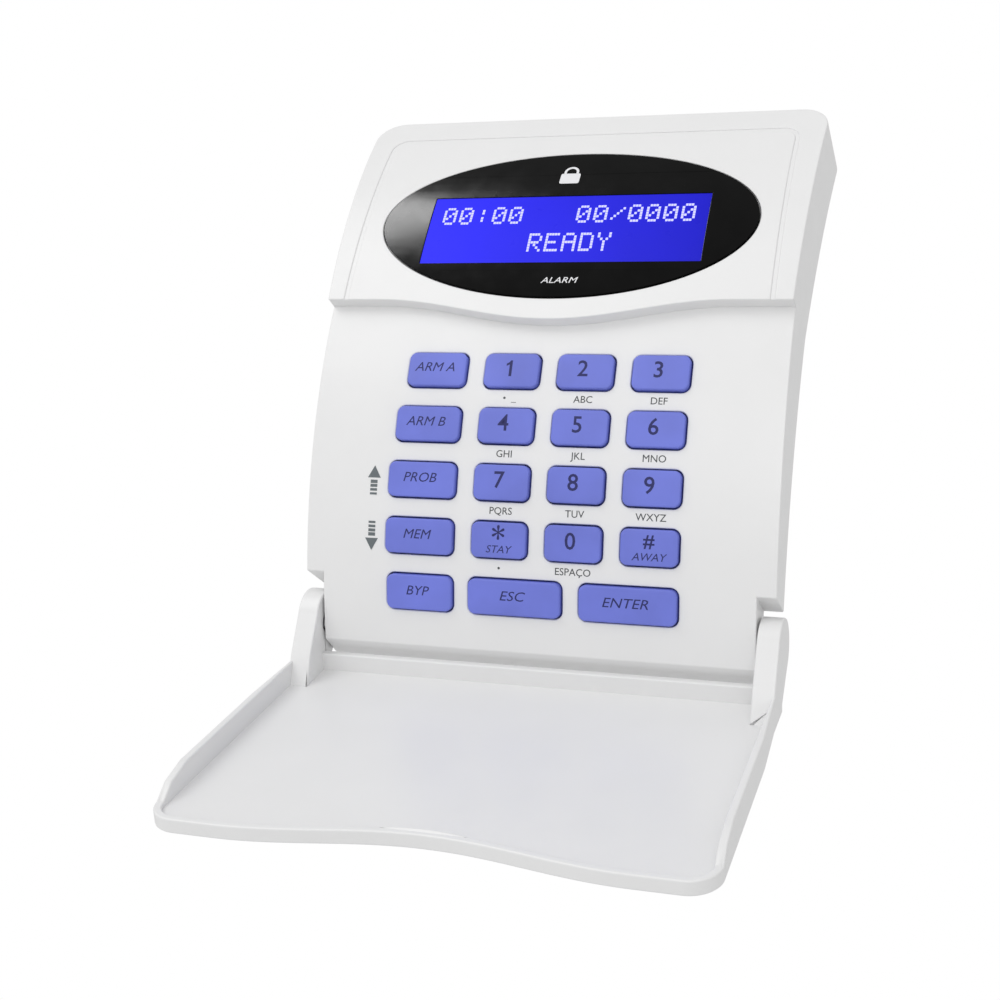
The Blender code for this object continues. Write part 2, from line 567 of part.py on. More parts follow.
def make_electronics():
    """Parts on the rear of the main board, and the flat cable to the display."""
    dark = material("chip_black", (0.02, 0.02, 0.02), 0.4)
    steel = material("screw_steel", (0.6, 0.6, 0.62), 0.3, 1)
    terminal_green = material("terminal_green", (0.03, 0.3, 0.1), 0.4)
    frame = on_board_back(-0.020, 0.022)
    block = box("terminal_block", (0.0204, 0.0082, 0.0085), (0, 0, 0.00425), frame, terminal_green)
    for i in range(4):
        spot = frame @ Matrix.Translation((-0.00762 + 0.00508 * i, 0, 0))
        combine(block, cylinder(f"cut_terminal_{i + 1}", 0.0019, 0.0045, 0.0100, spot, sides=12))
        cylinder(f"terminal_screw_{i + 1}", 0.0016, 0.0048, 0.0076, spot, steel, sides=12)
    box("microcontroller", (0.0120, 0.0120, 0.0016), (0, 0, 0.0008), on_board_back(0.008, 0.006), dark)
    box("voltage_regulator", (0.0066, 0.0062, 0.0023), (0, 0, 0.00115), on_board_back(-0.034, -0.006), dark)
    box("crystal", (0.0110, 0.0045, 0.0035), (0, 0, 0.00175), on_board_back(0.008, -0.006), steel)
    cylinder("buzzer", 0.0060, 0, 0.0055, on_board_back(0.030, 0.018), dark, sides=24)
    sleeve = material("capacitor_sleeve", (0.03, 0.04, 0.12), 0.3)
    cylinder("capacitor", 0.0031, 0, 0.0070, on_board_back(-0.034, 0.008), sleeve, sides=18)
    lamp = material("led_lens", (0.8, 0.85, 1.0), 0.2)
    for i, (x, y) in enumerate(((-0.0160, 0.020), (0.0184, 0.020), (-0.0160, -0.006), (0.0184, -0.006))):
        spot = on_arch(BOARD_ANGLE, BOARD_R + GAP, x) @ Matrix.Translation((0, y, 0))
        box(f"key_led_{i + 1}", (0.0030, 0.0015, 0.0010), (0, 0, 0.0005), spot, lamp)


def make_flat_cable():
    """Ribbon that bridges the rear of the display board and the main board."""
    upper = display_frame() @ Matrix.Translation((0, 0, -BEZEL_DEPTH - DISPLAY_BOARD[2] - 2 * GAP))
    lower = on_arch(BOARD_ANGLE, BOARD_R - BOARD_SIZE[2] - GAP)
    path = [upper @ Vector((0, -0.0120, 0)), upper @ Vector((0, -0.0172, 0)),
            lower @ Vector((0, 0.0330, -0.0030)), lower @ Vector((0, 0.0300, -0.0004)), lower @ Vector((0, 0.0265, 0))]
    path.insert(1, upper @ Vector((0, -0.0150, -0.0004)))
    front = [(-p.y, p.z) for p in path]
    back = [(d - 0.0006, z) for d, z in front]
    grey = material("ribbon_grey", (0.45, 0.46, 0.48), 0.5)
    return prism("display_ribbon", front + list(reversed(back)), -0.010, 0.010, SIDE, grey)


def make_tamper_switch():
    """Switch on the base with a plunger through it, which the wall holds in."""
    dark = material("chip_black", (0.02, 0.02, 0.02), 0.4)
    frame = FRONT @ Matrix.Translation((0.0, -0.020, 0))
    body = box("tamper_switch", (0.0080, 0.0080, 0.0052), (0, 0, BASE_FLOOR + GAP + 0.0026), frame, dark)
    combine(body, cylinder("cut_tamper_bore", 0.0018 + GAP, 0.0, 0.0062, frame, sides=16))
    lever = material("plunger_white", (0.8, 0.8, 0.8), 0.4)
    return cylinder("tamper_plunger", 0.0018, 0.0, 0.0050, frame, lever, sides=16, origin=frame.translation)


def main():
    global parts, cutters
    for obj in list(bpy.data.objects):
        bpy.data.objects.remove(obj, do_unlink=True)
    parts = bpy.data.collections.new("alarm_keypad_panel")
    cutters = bpy.data.collections.new("cutters")
    bpy.context.scene.collection.children.link(parts)
    bpy.context.scene.collection.children.link(cutters)
    make_front_shell()
    make_rear_base()
    make_case_screws()
    make_door()
    for side in (-1, 1):
        make_hinge_pin(side)
    make_display()
    for key in key_plan():
        make_key(*key)
    make_key_mat()
    make_main_board()
    make_electronics()
    make_flat_cable()
    make_tamper_switch()


main()
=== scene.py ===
"""Looks of the wall-mounted alarm keypad with its drop-down door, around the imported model.

Metres, +Z up, the front facing -Y, the origin on the wall. Depth is the distance in front of the wall.
The front is an arch about an axis along X, so most pieces are placed by their angle on that arch.
"""
import json
import math

import bmesh
import bpy
from mathutils import Matrix, Vector

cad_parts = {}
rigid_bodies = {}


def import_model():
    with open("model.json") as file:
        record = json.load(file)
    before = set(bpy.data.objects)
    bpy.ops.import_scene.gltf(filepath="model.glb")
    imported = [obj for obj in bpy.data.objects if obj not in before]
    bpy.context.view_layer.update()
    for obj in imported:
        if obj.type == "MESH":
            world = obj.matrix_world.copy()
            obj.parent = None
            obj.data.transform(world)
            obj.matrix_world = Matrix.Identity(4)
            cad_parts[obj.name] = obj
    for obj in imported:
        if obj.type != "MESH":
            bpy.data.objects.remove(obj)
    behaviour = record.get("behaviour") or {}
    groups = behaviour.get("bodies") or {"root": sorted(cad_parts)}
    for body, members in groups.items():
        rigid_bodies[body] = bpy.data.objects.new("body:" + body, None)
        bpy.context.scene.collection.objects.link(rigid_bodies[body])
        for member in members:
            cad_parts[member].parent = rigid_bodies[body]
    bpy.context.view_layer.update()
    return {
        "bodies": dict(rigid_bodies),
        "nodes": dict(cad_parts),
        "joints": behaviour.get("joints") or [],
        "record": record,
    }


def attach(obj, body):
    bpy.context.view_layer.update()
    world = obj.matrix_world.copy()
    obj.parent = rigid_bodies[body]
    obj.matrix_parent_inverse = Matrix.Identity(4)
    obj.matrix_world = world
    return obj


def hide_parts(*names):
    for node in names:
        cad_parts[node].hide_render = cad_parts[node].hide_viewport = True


GAP = 0.0003                    # between fitted parts
KEY_GAP = 0.00035               # round each key
MERGE = 0.00005                 # corners closer than this become one before edges are rounded

# Reach of cutters beyond what they cut
PAST_SIDE, PAST_FRONT, PAST_DOOR, PAST_PLATE = 0.08, 0.06, 0.03, 0.010

# The case's arch and outline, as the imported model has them
ARCH_Z, ARCH_DEPTH = 0.004, -0.1017
FACE_R, STEP = 0.138, 0.0037
KEY_R = FACE_R - STEP
RIM_Z, RIM_APEX, RIM_R = -0.0048, 0.0164, 0.168
TOP, BOTTOM = 0.067, -0.067
HALF_WIDTH, TOP_HALF_WIDTH = 0.0551, 0.0568
TOP_CORNER_R, BOTTOM_CORNER_R, LEAST_CORNER_R = 0.0065, 0.001, 0.0004
NOTCH_HALF_WIDTH, NOTCH_TOP = 0.0508, -0.0529
UNDERSIDE_DROP, UNDERSIDE_SLOPE, UNDERSIDE_FRONT = 0.0020, 0.188, 0.0125
WALL = 0.0022
STEP_Z, BULGE, BULGE_HALF = 0.0095, 0.0049, 0.042
ARC_STEP = math.radians(1.0)    # turn between the flats of an arch
FLAT_MARGIN = 0.36              # least distance of an edge from where two flats meet, in flats
GROOVE_X, GROOVE_TOP, GROOVE_CORNER_R = 0.0505, 0.0594, 0.0035
GROOVE_WIDTH, GROOVE_DEPTH = 0.0009, 0.00025
CASE_SCREWS, CASE_BOSS_R, CASE_BORE_R = ((-0.0465, 0.0545), (0.0465, 0.0545)), 0.0028, 0.0013
CASE_BOSS_DEPTHS, CASE_BORE_DEPTHS = (0.0025, 0.0235), (0.001, 0.009)
SHELL_ROUND = 0.0003

# Lens and display
LENS_Z, LENS_HALF_X, LENS_HALF_Z = 0.0312, 0.0452, 0.0211
LENS_THICK, LENS_PROUD, LENS_ROUND = 0.0015, 0.00025, 0.00012
LENS_R = FACE_R + LENS_PROUD
DISPLAY_ANGLE = math.radians(10.4)
DISPLAY_OPENING = (0.0690, 0.0214)
SCREEN = (0.0672, 0.0196)
SCREEN_SUNK, SCREEN_THICK, SCREEN_GAP, SCREEN_CORNER_R = 0.0002, 0.0009, 0.00003, 0.0002
SCREEN_R = LENS_R - SCREEN_SUNK
CHARACTER_PITCH, CHARACTER_SIZE, LINE_PITCH = 0.00413, (0.0033, 0.0053), 0.0082
DOT_FILL = 0.86                 # side of a dot, in dot pitches
SYMBOL_X, SYMBOL_Z = -0.0014, 0.0452
LENS_WORD_X, LENS_WORD_Z = 0.0015, 0.0143

# Keys
ROW_ANGLES = [math.radians(-4.55 - 5.5 * row) for row in range(5)]
KEY_HEIGHT, KEY_WIDTH, KEY_PROUD, KEY_CORNER_R = 0.0080, 0.0129, 0.0010, 0.0016
KEY_ROUND, KEY_CROWN, KEY_CROWN_CORNER_R = 0.00032, 0.00006, 0.0006
KEY_FLANGE, KEY_FLANGE_THICK = 0.0009, 0.0008
DIGIT_COLUMNS = (-0.0075, 0.0098, 0.0271)
FUNCTION_RIGHT, FUNCTION_LEFT = -0.0186, -0.03495
FUNCTION_BOW, WIDEST_ROW = 0.00032, 2.7        # the left edges bow out towards this row
WIDE_KEYS = (("key_escape", -0.0037, 0.0217), ("key_enter", 0.0225, 0.0221))     # name, centre x, width

# Print
PRINT = 0.00003                 # thickness of the ink
SLANT = 0.25
DIGIT_SIZE, DIGIT_BOLD = 0.0053, 0.00005
WORD_SIZE, SECOND_SIZE, SMALL_SIZE, LENS_WORD_SIZE = 0.0031, 0.0024, 0.0023, 0.0022
SIGN_BOLD = 0.00006
LEGEND_SHIFT = (-0.0005, 0.0004, 0)
SECOND_SHIFT = (0, -0.0021, 0)
SMALL_BELOW = 0.0024            # from a key's lower edge to the middle of its small letters
ARROW_X = -0.0387
ARROWS = (("arrow_up", -0.0327, 1), ("arrow_down", -0.0444, -1))      # name, height, way

# Door, in its own frame
PIVOT_Z, PIVOT_DEPTH = -0.0629, 0.0119
DOOR_ANGLE = math.radians(128.6)
DOOR_DATUM = (-0.0790, 0.0154)
DOOR_THICK, DOOR_HINGE_Y, DOOR_FREE_Y = 0.0022, -0.0105, 0.0644
DOOR_HALF_WIDTH, DOOR_WIDE_Y, DOOR_CORNER_R, DOOR_ROUND = 0.0573, 0.016, 0.0065, 0.0004
LIP_INNER_X, LIP_HEIGHT, FREE_LIP, FREE_WALL = 0.0555, 0.0050, 0.0010, 0.0017
LIP_FALL = [(0.0585, -FREE_LIP), (0.0545, -LIP_HEIGHT * 0.72), (0.048, -LIP_HEIGHT)]
TRAY_HINGE_Y, TRAY_CORNER_R = 0.002, 0.0045
HINGE_RIM, HINGE_RIM_THICK = 0.0041, 0.002
EAR_INNER_X, EAR_OUTER_X, EAR_R = 0.0513, 0.0563, 0.0068
EAR_Z, EAR_DEPTH = -0.0616, 0.0112
EAR_ROUND_START, EAR_ROUND_END = 27, 243       # the round head, in degrees
EAR_FRONT = [(0.0021, 0.0020), (-0.0006, -0.0030), (-0.0016, -LIP_HEIGHT), (-0.0022, -0.0062)]
EAR_OVERLAP = 0.0005
PIN_BORE_R = 0.0021
SHELL_BORE_X, DOOR_BORE_X = (0.040, 0.053), (0.050, 0.0546)

FRONT = Matrix(((1, 0, 0, 0), (0, 0, -1, 0), (0, 1, 0, 0), (0, 0, 0, 1)))    # x, height, depth
SIDE = Matrix(((0, 0, -1, 0), (-1, 0, 0, 0), (0, 1, 0, 0), (0, 0, 0, 1)))    # depth, height, -x

# Camera, light and floor
CAMERA_PLACE = (0.10904, -0.3475, -0.1475)
CAMERA_RIGHT = (0.94484, 0.29261, 0.14718)
CAMERA_UP = (-0.04043, -0.34174, 0.93892)
CAMERA_LENS = 57.6
LIT_SPOT = (0, -0.03, 0)
LENS_LEFT_END = (-0.045, -0.033, 0.031)
WORLD_LIGHT = 0.70
FLOOR_Z, FLOOR_HALF = -0.30, 1.5


# ---------------------------------------------------------------- camera, light, floor

def make_camera():
    data = bpy.data.cameras.new("camera")
    data.lens = CAMERA_LENS
    data.clip_start = 0.01
    camera = bpy.data.objects.new("camera", data)
    right, up = Vector(CAMERA_RIGHT).normalized(), Vector(CAMERA_UP).normalized()
    back = right.cross(up).normalized()
    turn = Matrix((right, back.cross(right), back)).transposed().to_4x4()
    camera.matrix_world = Matrix.Translation(CAMERA_PLACE) @ turn
    bpy.context.scene.collection.objects.link(camera)
    bpy.context.scene.camera = camera


def area_light(name, place, target, size, power):
    data = bpy.data.lights.new(name, "AREA")
    data.shape = "RECTANGLE"
    data.size, data.size_y = size
    data.energy = power
    light = bpy.data.objects.new(name, data)
    light.location = place
    aim = Vector(target) - Vector(place)
    light.rotation_euler = aim.to_track_quat("-Z", "Y").to_euler()
    bpy.context.scene.collection.objects.link(light)
    return light


def make_world():
    """White behind the object, and a softer grey that lights it."""
    world = bpy.data.worlds.new("studio")
    bpy.context.scene.world = world
    world.use_nodes = True
    nodes, links = world.node_tree.nodes, world.node_tree.links
    nodes.clear()
    out = nodes.new("ShaderNodeOutputWorld")
    seen, light = nodes.new("ShaderNodeBackground"), nodes.new("ShaderNodeBackground")
    seen.inputs["Color"].default_value = (1, 1, 1, 1)
    light.inputs["Color"].default_value = (1, 1, 1, 1)
    light.inputs["Strength"].default_value = WORLD_LIGHT
    path, mix = nodes.new("ShaderNodeLightPath"), nodes.new("ShaderNodeMixShader")
    links.new(path.outputs["Is Camera Ray"], mix.inputs["Fac"])
    links.new(light.outputs[0], mix.inputs[1])
    links.new(seen.outputs[0], mix.inputs[2])
    links.new(mix.outputs[0], out.inputs["Surface"])


def make_studio():
    make_world()
    area_light("key_light", place=(-0.9, -1.3, 0.9), target=LIT_SPOT, size=(1.2, 1.2), power=8.2)
    area_light("front_fill", place=(0.3, -1.6, -0.2), target=LIT_SPOT, size=(1.2, 0.9), power=6.0)
    bm = bmesh.new()
    bmesh.ops.create_grid(bm, x_segments=4, y_segments=4, size=FLOOR_HALF)
    floor = add_mesh("floor", bm, Matrix.Translation((0, 0, FLOOR_Z)))
    dress(floor, matte("floor_white", (0.86, 0.86, 0.86), 0.8))
    scene = bpy.context.scene
    scene.view_settings.view_transform = "Standard"
    scene.view_settings.look = "None"


def light_lens(lens):
    """Softbox that only the lens reflects, towards its left end; the other lights leave the lens alone."""
    softbox = area_light("lens_softbox", place=(-0.645, -0.699, 0.959), target=LENS_LEFT_END,
                         size=(0.35, 0.36), power=20.0)
    for light in (softbox, bpy.data.objects["key_light"], bpy.data.objects["front_fill"]):
        receivers = bpy.data.collections.new(light.name + "_receivers")
        receivers.objects.link(lens)
        light.light_linking.receiver_collection = receivers
        if light is not softbox:
            receivers.collection_objects[0].light_linking.link_state = "EXCLUDE"


# ---------------------------------------------------------------- materials

def start_material(name):
    """A material, its shader and its node tree."""
    made = bpy.data.materials.new(name)
    made.use_nodes = True
    return made, made.node_tree.nodes["Principled BSDF"], made.node_tree


NOISE_LOW, NOISE_HIGH = 0.3, 0.7        # most of a noise texture lies between these
TONE_SCALE, GLOSS_SCALE = 60.0, 240.0   # features per metre


def noise(tree, scale, detail=3.0):
    """A noise texture in object space, in features per metre."""
    place = tree.nodes.new("ShaderNodeTexCoord")
    texture = tree.nodes.new("ShaderNodeTexNoise")
    texture.inputs["Scale"].default_value = scale
    texture.inputs["Detail"].default_value = detail
    tree.links.new(place.outputs["Object"], texture.inputs["Vector"])
    return texture.outputs["Fac"]


def spread(tree, source, low, high, start=NOISE_LOW, end=NOISE_HIGH):
    """The source, from start to end, mapped to a range of values."""
    mapped = tree.nodes.new("ShaderNodeMapRange")
    mapped.inputs["From Min"].default_value = start
    mapped.inputs["From Max"].default_value = end
    mapped.inputs["To Min"].default_value = low
    mapped.inputs["To Max"].default_value = high
    tree.links.new(source, mapped.inputs["Value"])
    return mapped.outputs["Result"]


def vary_color(tree, shader, source, dark, light):
    ramp = tree.nodes.new("ShaderNodeValToRGB")
    for stop, place, color in zip(ramp.color_ramp.elements, (NOISE_LOW, NOISE_HIGH), (dark, light)):
        stop.position = place
        stop.color = (*color, 1)
    tree.links.new(source, ramp.inputs["Fac"])
    tree.links.new(ramp.outputs["Color"], shader.inputs["Base Color"])


def add_bump(tree, shader, source, height):
    bump = tree.nodes.new("ShaderNodeBump")
    bump.inputs["Distance"].default_value = height
    bump.inputs["Strength"].default_value = 1.0
    tree.links.new(source, bump.inputs["Height"])
    tree.links.new(bump.outputs["Normal"], shader.inputs["Normal"])


def surface(name, color, roughness, grain=9000.0, height=0.000004, tone=0.03, wear=0.06, metallic=0.0):
    """A plain surface with fine grain, slight tone variation and uneven gloss."""
    made, shader, tree = start_material(name)
    dark = [c * (1 - tone) for c in color]
    light = [min(1, c * (1 + tone)) for c in color]
    vary_color(tree, shader, noise(tree, TONE_SCALE), dark, light)
    rough = spread(tree, noise(tree, GLOSS_SCALE, 5.0), max(0.02, roughness - wear), roughness + wear)
    tree.links.new(rough, shader.inputs["Roughness"])
    shader.inputs["Metallic"].default_value = metallic
    add_bump(tree, shader, noise(tree, grain, 2.0), height)
    return made


def matte(name, color, roughness):
    return surface(name, color, roughness, grain=3000.0)


def white_plastic(name, color, roughness):
    """Moulded white ABS: fine spark grain under a thin satin coat."""
    made = surface(name, color, roughness, grain=14000.0, height=0.000003, tone=0.008, wear=0.05)
    shader = made.node_tree.nodes["Principled BSDF"]
    shader.inputs["IOR"].default_value = 1.53
    shader.inputs["Coat Weight"].default_value = 0.15
    shader.inputs["Coat Roughness"].default_value = 0.2
    return made


def glow(made, color, strength):
    shader = made.node_tree.nodes["Principled BSDF"]
    shader.inputs["Emission Color"].default_value = (*color, 1)
    shader.inputs["Emission Strength"].default_value = strength


def dim_across(made, left, right):
    """Lamp at the left end of the display: its glow weakens across the width."""
    tree = made.node_tree
    place = tree.nodes.new("ShaderNodeTexCoord")
    parts = tree.nodes.new("ShaderNodeSeparateXYZ")
    tree.links.new(place.outputs["Object"], parts.inputs[0])
    fall = spread(tree, parts.outputs["X"], left, right, -SCREEN[0] / 2, SCREEN[0] / 2)
    tree.links.new(fall, tree.nodes["Principled BSDF"].inputs["Emission Strength"])


def make_materials():
    """Every material by its name: the slots of the record, then the inks and the display's dots."""
    made = {
        "white_shell": white_plastic("white_shell", (0.80, 0.80, 0.80), 0.34),
        "white_door": white_plastic("white_door", (0.80, 0.80, 0.80), 0.36),
        "white_base": matte("white_base", (0.72, 0.72, 0.73), 0.5),
        "key_blue": surface("key_blue", (0.150, 0.185, 0.66), 0.45, 5000.0, 0.000006, 0.10),
        "lens_black": surface("lens_black", (0.003, 0.003, 0.003), 0.15, 400.0, 0.0000005, 0.2, 0.02),
        "display_blue": surface("display_blue", (0.01, 0.01, 0.45), 0.30, 2600.0, 0.000001, 0.05, 0.03),
        "light_guide": matte("light_guide", (0.75, 0.80, 0.95), 0.4),
        "bezel_steel": surface("bezel_steel", (0.06, 0.06, 0.065), 0.35, metallic=0.8),
        "circuit_board": surface("circuit_board", (0.015, 0.13, 0.06), 0.35, 1400.0, 0.00002, 0.3),
        "ribbon_grey": surface("ribbon_grey", (0.42, 0.43, 0.45), 0.5, 1600.0, 0.00002, 0.1),
        "silicone": matte("silicone", (0.70, 0.71, 0.76), 0.6),
        "chip_black": matte("chip_black", (0.02, 0.02, 0.022), 0.5),
        "capacitor_sleeve": surface("capacitor_sleeve", (0.02, 0.03, 0.10), 0.3),
        "terminal_green": surface("terminal_green", (0.03, 0.28, 0.09), 0.45),
        "led_lens": surface("led_lens", (0.80, 0.85, 1.0), 0.2),
        "plunger_white": matte("plunger_white", (0.75, 0.75, 0.74), 0.45),
        "pin_steel": surface("pin_steel", (0.62, 0.62, 0.64), 0.25, metallic=1.0),
        "screw_steel": surface("screw_steel", (0.55, 0.55, 0.57), 0.3, 4000.0, 0.00001, 0.08, metallic=1.0),
        "ink_navy": matte("ink_navy", (0.012, 0.014, 0.11), 0.6),
        "ink_grey": matte("ink_grey", (0.05, 0.055, 0.06), 0.6),
        "ink_arrow": matte("ink_arrow", (0.13, 0.15, 0.16), 0.6),
        "ink_white": matte("ink_white", (0.80, 0.80, 0.82), 0.5),
        "display_dots": matte("display_dots", (0.55, 0.55, 0.95), 0.5),
    }
    glow(made["display_blue"], (0.035, 0.033, 0.72), 0.80)
    dim_across(made["display_blue"], 0.85, 0.20)
    glow(made["display_dots"], (0.42, 0.42, 0.95), 0.45)
    for name, level in (("lens_black", 0.06), ("display_blue", 0.05), ("display_dots", 0.1)):
        made[name].node_tree.nodes["Principled BSDF"].inputs["Specular IOR Level"].default_value = level
    return made


def dress(obj, material):
    obj.data.materials.clear()
    obj.data.materials.append(material)
    return obj


# ---------------------------------------------------------------- building blocks

def add_mesh(name, bm, matrix):
    bm.transform(matrix)
    bmesh.ops.recalc_face_normals(bm, faces=bm.faces)
    if bm.faces and bm.calc_volume(signed=True) < 0:
        bmesh.ops.reverse_faces(bm, faces=bm.faces)
    mesh = bpy.data.meshes.new(name)
    bm.to_mesh(mesh)
    bm.free()
    obj = bpy.data.objects.new(name, mesh)
    bpy.context.scene.collection.objects.link(obj)
    return obj


def prism(name, outline, low, high, matrix):
    """A flat outline extruded along its frame's z."""
    bm = bmesh.new()
    face = bm.faces.new([bm.verts.new((x, y, low)) for x, y in outline])
    moved = bmesh.ops.extrude_face_region(bm, geom=[face])["geom"]
    rise = [v for v in moved if isinstance(v, bmesh.types.BMVert)]
    bmesh.ops.translate(bm, verts=rise, vec=(0, 0, high - low))
    return add_mesh(name, bm, matrix)


def box(name, size, centre, matrix):
    bm = bmesh.new()
    bmesh.ops.create_cube(bm, size=1, matrix=Matrix.Translation(centre) @ Matrix.Diagonal((*size, 1)))
    return add_mesh(name, bm, matrix)


def cylinder(name, radius, low, high, matrix, sides=48):
    bm = bmesh.new()
    middle = Matrix.Translation((0, 0, (low + high) / 2))
    bmesh.ops.create_cone(bm, cap_ends=True, segments=sides, radius1=radius, radius2=radius,
                          depth=high - low, matrix=middle)
    return add_mesh(name, bm, matrix)


def loft(name, rings, matrix):
    """A closed body through outlines of equal count, each given with its height."""
    bm = bmesh.new()
    loops = [[bm.verts.new((x, y, z)) for x, y in outline] for outline, z in rings]
    for low, high in zip(loops, loops[1:]):
        for i in range(len(low)):
            j = (i + 1) % len(low)
            bm.faces.new((low[i], low[j], high[j], high[i]))
    bm.faces.new(loops[0])
    bm.faces.new(loops[-1])
    return add_mesh(name, bm, matrix)


def corner(cx, cy, radius, start, end, steps):
    """Points on an arc from start to end, in degrees."""
    angles = [math.radians(start + (end - start) * i / steps) for i in range(steps + 1)]
    return [(cx + radius * math.cos(a), cy + radius * math.sin(a)) for a in angles]


def rounded_rect(half_x, half_y, radius, steps=6):
    x, y = half_x - radius, half_y - radius
    return (corner(x, y, radius, 0, 90, steps) + corner(-x, y, radius, 90, 180, steps)
            + corner(-x, -y, radius, 180, 270, steps) + corner(x, -y, radius, 270, 360, steps))


def in_order(mesh):
    """Number the corners, then the faces, by place: a boolean numbers them differently in every run."""
    corners = sorted(mesh.vertices, key=lambda vertex: vertex.co[:])
    number = {vertex.index: i for i, vertex in enumerate(corners)}
    faces = []
    for face in mesh.polygons:
        loop = [number[index] for index in face.vertices]
        first = loop.index(min(loop))
        faces.append(loop[first:] + loop[:first])
    places = [vertex.co[:] for vertex in corners]
    mesh.clear_geometry()
    mesh.from_pydata(places, [], sorted(faces))


def settle(obj):
    """Apply the modifiers of an object to its mesh."""
    bpy.context.view_layer.update()
    evaluated = obj.evaluated_get(bpy.context.evaluated_depsgraph_get())
    mesh = bpy.data.meshes.new_from_object(evaluated)
    in_order(mesh)
    old = obj.data
    obj.modifiers.clear()
    obj.data = mesh
    bpy.data.meshes.remove(old)
    return obj


def combine(obj, others, operation="DIFFERENCE"):
    """Boolean with each of the others in turn, which are used up."""
    for other in others:
        modifier = obj.modifiers.new("boolean", "BOOLEAN")
        modifier.operation = operation
        modifier.solver = "EXACT"
        modifier.object = other
        settle(obj)
        bpy.data.objects.remove(other, do_unlink=True)
    return obj


def join(name, objects):
    """Several separate bodies as one object."""
    bm = bmesh.new()
    for obj in objects:
        bm.from_mesh(obj.data)
        bpy.data.objects.remove(obj, do_unlink=True)
    return add_mesh(name, bm, Matrix.Identity(4))


def soften(obj, width, segments=3, sharp=math.radians(32), flat=math.radians(0.3)):
    """Round the outside edges that turn by more than the angle sharp, after faces within flat are merged."""
    bm = bmesh.new()
    bm.from_mesh(obj.data)
    bmesh.ops.remove_doubles(bm, verts=bm.verts, dist=MERGE)
    bmesh.ops.dissolve_limit(bm, angle_limit=flat, verts=bm.verts, edges=bm.edges)
    bm.to_mesh(obj.data)
    bm.edges.ensure_lookup_table()
    weights = [float(edge.is_manifold and edge.calc_face_angle_signed(0) > sharp) for edge in bm.edges]
    bm.free()
    obj.data.attributes.new("bevel_weight_edge", "FLOAT", "EDGE").data.foreach_set("value", weights)
    bevel = obj.modifiers.new("bevel", "BEVEL")
    bevel.width = width
    bevel.segments = segments
    bevel.limit_method = "WEIGHT"
    bevel.use_clamp_overlap = False
    settle(obj)
    return favour_flats(obj)


def favour_flats(obj, limit=math.cos(math.radians(40))):
    """Shade so that large faces stay flat and the rounded edges blend into them."""
    mesh = obj.data
    mesh.shade_smooth()
    faces = [(face.normal.copy(), face.area ** 2) for face in mesh.polygons]
    around = [[] for vertex in mesh.vertices]
    for face in mesh.polygons:
        for vertex in face.vertices:
            around[vertex].append(face.index)
    normals = [None] * len(mesh.loops)
    for face in mesh.polygons:
        for loop in face.loop_indices:
            total = Vector((0, 0, 0))
            for index in around[mesh.loops[loop].vertex_index]:
                normal, weight = faces[index]
                if normal.dot(face.normal) > limit:
                    total += normal * weight
            normals[loop] = total.normalized() if total.length > 1e-20 else face.normal.copy()
    mesh.normals_split_custom_set(normals)
    return obj


def follow_arch(obj, alike=0.9998):
    """Shade the faces that lie along the arch as one smooth curve."""
    mesh = obj.data
    axis = Vector((0, -ARCH_DEPTH, ARCH_Z))
    normals = [Vector(corner_normal.vector) for corner_normal in mesh.corner_normals]
    for face in mesh.polygons:
        out = face.center - axis
        out.x = 0
        if face.normal.dot(out.normalized()) < alike:
            continue
        for loop in face.loop_indices:
            out = mesh.vertices[mesh.loops[loop].vertex_index].co - axis
            out.x = 0
            normals[loop] = out.normalized()
    mesh.normals_split_custom_set(normals)
    return obj


def smooth(obj, angle=30):
    obj.data.shade_smooth()
    obj.data.set_sharp_from_angle(angle=math.radians(angle))
    return obj


# ---------------------------------------------------------------- frames and outlines

def on_arch(angle, radius, x=0.0):
    """Frame on the arch: x across, y up along the face, z out of it."""
    turn = Matrix(((1, 0, 0, 0), (0, math.sin(angle), -math.cos(angle), 0),
                   (0, math.cos(angle), math.sin(angle), 0), (0, 0, 0, 1)))
    return Matrix.Translation((x, -ARCH_DEPTH, ARCH_Z)) @ turn @ Matrix.Translation((0, 0, radius))


def arch_angle(z, radius):
    """Angle on the arch of a height."""
    return math.asin((z - ARCH_Z) / radius)


def door_frame():
    """The open door's frame: x across, y to the free edge, z to the outer face."""
    c, s = math.cos(DOOR_ANGLE), math.sin(DOOR_ANGLE)
    turn = Matrix(((1, 0, 0, 0), (0, -s, -c, 0), (0, c, -s, 0), (0, 0, 0, 1)))
    return Matrix.Translation((0, -DOOR_DATUM[1], DOOR_DATUM[0])) @ turn


def in_door(z, depth):
    """A point of the case's side view, in the door's frame."""
    point = door_frame().inverted() @ Vector((0, -depth, z))
    return point.y, point.z


def hinge_axis(side):
    """Frame on the pivot, its z out to one side."""
    turn = Matrix.Rotation(math.radians(90 * side), 4, "Y")
    return Matrix.Translation((0, -PIVOT_DEPTH, PIVOT_Z)) @ turn


def step_edge(x):
    """Height of the step's edge, which dips under the lens."""
    if abs(x) >= BULGE_HALF:
        return STEP_Z
    return STEP_Z - BULGE * 0.5 * (1 + math.cos(math.pi * x / BULGE_HALF))


def free_edge(y, steps):
    """The right half of the dip in the door's free edge, up to the middle, where the plain edge is at y."""
    across = [BULGE_HALF * (steps - i) / steps for i in range(steps)]
    return [(x, y + step_edge(x) - STEP_Z) for x in across] + [(0, y - BULGE)]


def mirrored(right):
    """Both halves of an outline. A point on the middle isn't repeated."""
    return right + [(-x, y) for x, y in reversed(right) if x]


